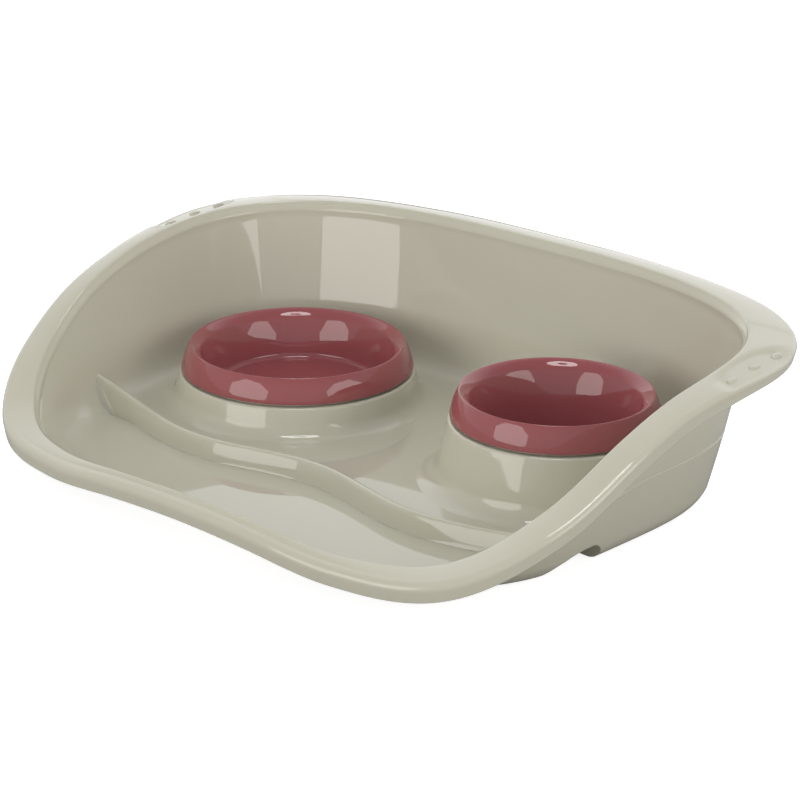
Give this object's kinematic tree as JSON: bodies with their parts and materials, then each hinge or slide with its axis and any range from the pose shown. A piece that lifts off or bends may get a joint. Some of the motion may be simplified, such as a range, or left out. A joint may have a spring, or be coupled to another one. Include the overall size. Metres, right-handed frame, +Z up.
{
  "type": "double pet bowl",
  "caption": "Moulded feeding tray with a high splash wall at its back and sides, a wavy floor ridge, and a shallow food bowl and a deep water bowl that lift out of round pedestals.",
  "frame": {"origin": "on the ground, under the middle of the tray's overall width and depth", "axes": "+X to the right as seen from the low front, where the deep water bowl is; +Y to the high back wall; +Z up"},
  "size_m": [0.4666, 0.341, 0.1085],
  "materials": {
    "tray": "glossy light warm grey moulded plastic",
    "bowls": "glossy dusky berry red moulded plastic",
    "feet": "dark grey rubber"
  },
  "bodies": {
    "tray": {"tray": "tray", "front_left_foot": "feet", "front_right_foot": "feet", "rear_left_foot": "feet", "rear_right_foot": "feet"},
    "food_bowl": {"food_bowl": "bowls"},
    "water_bowl": {"water_bowl": "bowls"}
  },
  "joints": [
    {"name": "food_bowl_lift", "type": "slide", "parent": "tray", "child": "food_bowl", "axis": [0, 0, 1], "range_m": [0, 0.12]},
    {"name": "water_bowl_lift", "type": "slide", "parent": "tray", "child": "water_bowl", "axis": [0, 0, 1], "range_m": [0, 0.12]}
  ]
}
